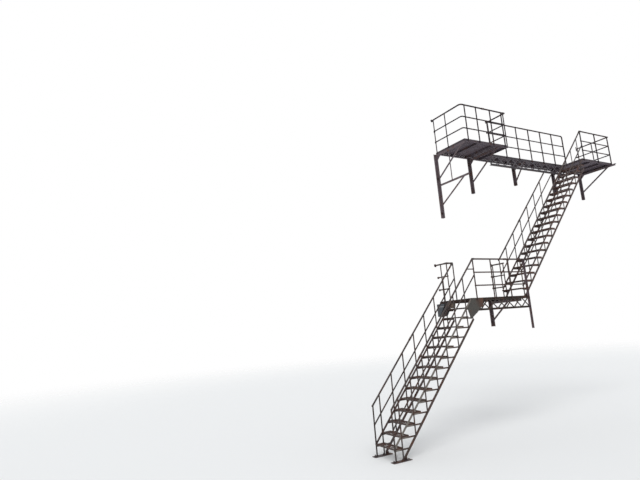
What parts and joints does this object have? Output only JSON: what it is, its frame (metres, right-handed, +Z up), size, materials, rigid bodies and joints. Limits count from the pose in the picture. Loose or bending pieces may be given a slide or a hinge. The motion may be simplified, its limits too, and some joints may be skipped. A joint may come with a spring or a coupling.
{
  "type": "fire escape stair",
  "caption": "Wall-mounted steel fire escape: railed upper gallery with walkway and stairhead, open flight down to a railed landing, and a lower flight to the ground.",
  "frame": {"origin": "on the back face of the first wall leg, at the centre of its two bolt holes, 5.6 m above the ground", "axes": "+Z up, +X right along the wall, +Y into the wall, so the stair stands out towards -Y"},
  "size_m": [9.0209, 1.15, 7.683],
  "materials": {
    "iron": "weathered near-black paint with brown rust",
    "worn_iron": "paint worn to grey on the upper faces",
    "rusted_iron": "dull, mostly rusted",
    "grey_paint": "chalky grey paint with orange rust"
  },
  "bodies": {
    "root": {"balcony_deck": "iron", "walkway_deck": "iron", "stairhead_deck": "iron", "gallery_ledger": "iron", "walkway_girder": "iron", "wall_bracket_1": "iron", "wall_bracket_2": "iron", "wall_bracket_3": "iron", "wall_bracket_4": "iron", "wall_bracket_5": "iron", "balcony_left_rail": "iron", "balcony_front_rail": "iron", "balcony_return_rail": "iron", "walkway_rail": "iron", "stairhead_front_rail": "iron", "stairhead_end_rail": "iron", "upper_string_inner": "iron", "upper_string_outer": "iron", "upper_treads": "iron", "upper_handrail_inner": "iron", "upper_handrail_outer": "iron", "landing_deck": "iron", "landing_ledger": "iron", "landing_girder": "iron", "landing_front_rail": "iron", "landing_left_guard": "iron", "landing_right_guard": "iron", "landing_corner_post": "iron", "landing_bracket_left": "grey_paint", "landing_bracket_right": "iron", "lower_string_inner": "iron", "lower_string_outer": "rusted_iron", "lower_gusset": "grey_paint", "lower_treads": "iron", "lower_handrail_inner": "iron", "lower_handrail_outer": "worn_iron", "foot_plate_inner": "rusted_iron", "foot_plate_outer": "rusted_iron"}
  },
  "joints": []
}
